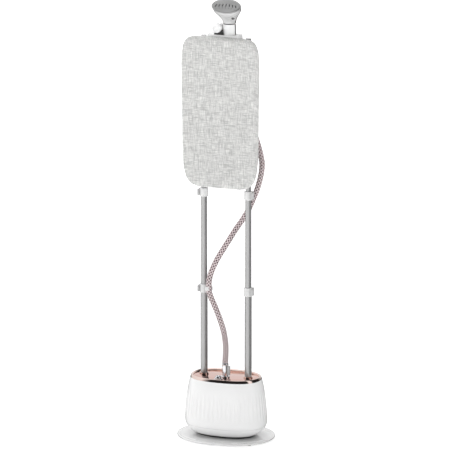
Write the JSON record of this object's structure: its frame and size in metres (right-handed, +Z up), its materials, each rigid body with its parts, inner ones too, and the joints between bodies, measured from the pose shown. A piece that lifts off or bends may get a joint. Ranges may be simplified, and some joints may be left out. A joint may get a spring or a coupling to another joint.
{
  "type": "garment steamer",
  "caption": "Upright garment steamer: oval water base, telescopic poles with flip clamps, padded ironing board and a lift-off steam head on a braided hose.",
  "frame": {"origin": "on the ground at the centre of the floor plate", "axes": "+Z up, +X to the right, front faces -Y"},
  "size_m": [0.372, 0.314, 1.673],
  "materials": {
    "gloss_white": "gloss",
    "rose_mirror": "mirror, rose tinted",
    "chrome": "mirror",
    "steel_pins": "bright",
    "pole_aluminium": "satin",
    "boiler_aluminium": "as cast",
    "clamp_white": "satin",
    "lever_grey": "satin",
    "bridge_white": "gloss",
    "dark_plastic": "satin",
    "dark_rubber": "matt",
    "copper_pipe": "bright",
    "circuit_green": "satin",
    "tank_smoke": "gloss",
    "board_plastic": "satin",
    "pad_foam": "open foam",
    "linen_cover": "plain weave with slubs",
    "head_silver": "silver grey, gloss",
    "soleplate_metal": "satin anodised",
    "hose_braid": "braided, two colours"
  },
  "bodies": {
    "base": {"floor_plate": "gloss_white", "floor_feet": "dark_rubber", "base_screws": "steel_pins", "pedestal": "dark_plastic", "base_pan": "gloss_white", "base_housing": "gloss_white", "trim_ring": "rose_mirror", "top_panel": "rose_mirror", "pole_sockets": "rose_mirror", "panel_rings": "chrome", "hose_outlet": "chrome", "cord_gland": "dark_plastic", "boiler": "boiler_aluminium", "water_pump": "dark_plastic", "feed_pipes": "copper_pipe", "rotary_switch": "dark_plastic", "control_board": "circuit_green", "lower_pole_left": "pole_aluminium", "lower_pole_right": "pole_aluminium", "lower_collars": "clamp_white", "lower_pins": "steel_pins", "hose_clip": "clamp_white", "hose_lower": "hose_braid"},
    "left_lower_lever": {"lower_lever_left": "lever_grey"},
    "right_lower_lever": {"lower_lever_right": "lever_grey"},
    "left_upper_lever": {"upper_lever_left": "lever_grey"},
    "right_upper_lever": {"upper_lever_right": "lever_grey"},
    "dial": {"control_dial": "chrome"},
    "latch": {"hose_latch": "lever_grey"},
    "tank": {"water_tank": "tank_smoke", "tank_valve": "dark_plastic"},
    "filler_cap": {"tank_cap": "dark_plastic"},
    "mid_poles": {"mid_pole_left": "pole_aluminium", "mid_pole_right": "pole_aluminium", "mid_end_plugs": "dark_plastic", "upper_collars": "clamp_white", "upper_pins": "steel_pins", "hose_middle": "hose_braid"},
    "top_frame": {"upper_pole_left": "pole_aluminium", "upper_pole_right": "pole_aluminium", "upper_pole_ends": "bridge_white", "top_bridge": "bridge_white", "cradle_pad": "dark_rubber", "board_bracket": "clamp_white", "bracket_screws": "steel_pins", "board_back": "board_plastic", "board_pad": "pad_foam", "board_cover": "linen_cover", "hose_top": "hose_braid"},
    "knob": {"lock_knob": "bridge_white"},
    "head": {"handle_front": "bridge_white", "handle_grip": "dark_plastic", "neck_ring": "dark_plastic", "head_shell": "head_silver", "head_back": "dark_plastic", "head_trim": "rose_mirror", "sole_band": "head_silver", "soleplate": "soleplate_metal", "hose_cuff": "dark_rubber"},
    "steam_trigger": {"steam_button": "dark_plastic"}
  },
  "joints": [
    {"name": "mid_slide", "type": "slide", "parent": "base", "child": "mid_poles", "axis": [0, 0, 1], "range_m": [-0.3, 0], "deforming": ["hose_lower"]},
    {"name": "upper_slide", "type": "slide", "parent": "mid_poles", "child": "top_frame", "axis": [0, 0, 1], "range_m": [-0.25, 0], "deforming": ["hose_middle"]},
    {"name": "left_lower_lever_hinge", "type": "hinge", "parent": "base", "child": "left_lower_lever", "pos_m": [-0.10314, 0.01414, 0.564], "axis": [0, 0, -1], "range_deg": [0, 110]},
    {"name": "right_lower_lever_hinge", "type": "hinge", "parent": "base", "child": "right_lower_lever", "pos_m": [0.10314, 0.01414, 0.564], "axis": [0, 0, 1], "range_deg": [0, 110]},
    {"name": "left_upper_lever_hinge", "type": "hinge", "parent": "mid_poles", "child": "left_upper_lever", "pos_m": [-0.10314, 0.01414, 0.932], "axis": [0, 0, -1], "range_deg": [0, 110]},
    {"name": "right_upper_lever_hinge", "type": "hinge", "parent": "mid_poles", "child": "right_upper_lever", "pos_m": [0.10314, 0.01414, 0.932], "axis": [0, 0, 1], "range_deg": [0, 110]},
    {"name": "dial_turn", "type": "hinge", "parent": "base", "child": "dial", "pos_m": [-0.008, -0.06, 0.24], "axis": [0, 0, -1], "range_deg": [0, 270]},
    {"name": "latch_press", "type": "slide", "parent": "base", "child": "latch", "axis": [0, 0, -1], "range_m": [0, 0.003], "stiffness_N_per_m": 400, "springref_m": -0.002},
    {"name": "tank_pull", "type": "slide", "parent": "base", "child": "tank", "axis": [0, 1, 0], "range_m": [0, 0.11]},
    {"name": "cap_twist", "type": "hinge", "parent": "tank", "child": "filler_cap", "pos_m": [0, 0.05, 0.184], "axis": [0, 0, 1], "range_deg": [0, 90]},
    {"name": "knob_turn", "type": "hinge", "parent": "top_frame", "child": "knob", "pos_m": [-0.0215, -0.035, 1.563], "axis": [0, -1, 0], "range_deg": [0, 180]},
    {"name": "head_lift", "type": "slide", "parent": "top_frame", "child": "head", "axis": [0, 0, 1], "range_m": [0, 0.06], "deforming": ["hose_top"]},
    {"name": "steam_press", "type": "slide", "parent": "head", "child": "steam_trigger", "axis": [0, 1, 0], "range_m": [0, 0.002], "stiffness_N_per_m": 500, "springref_m": -0.002}
  ]
}
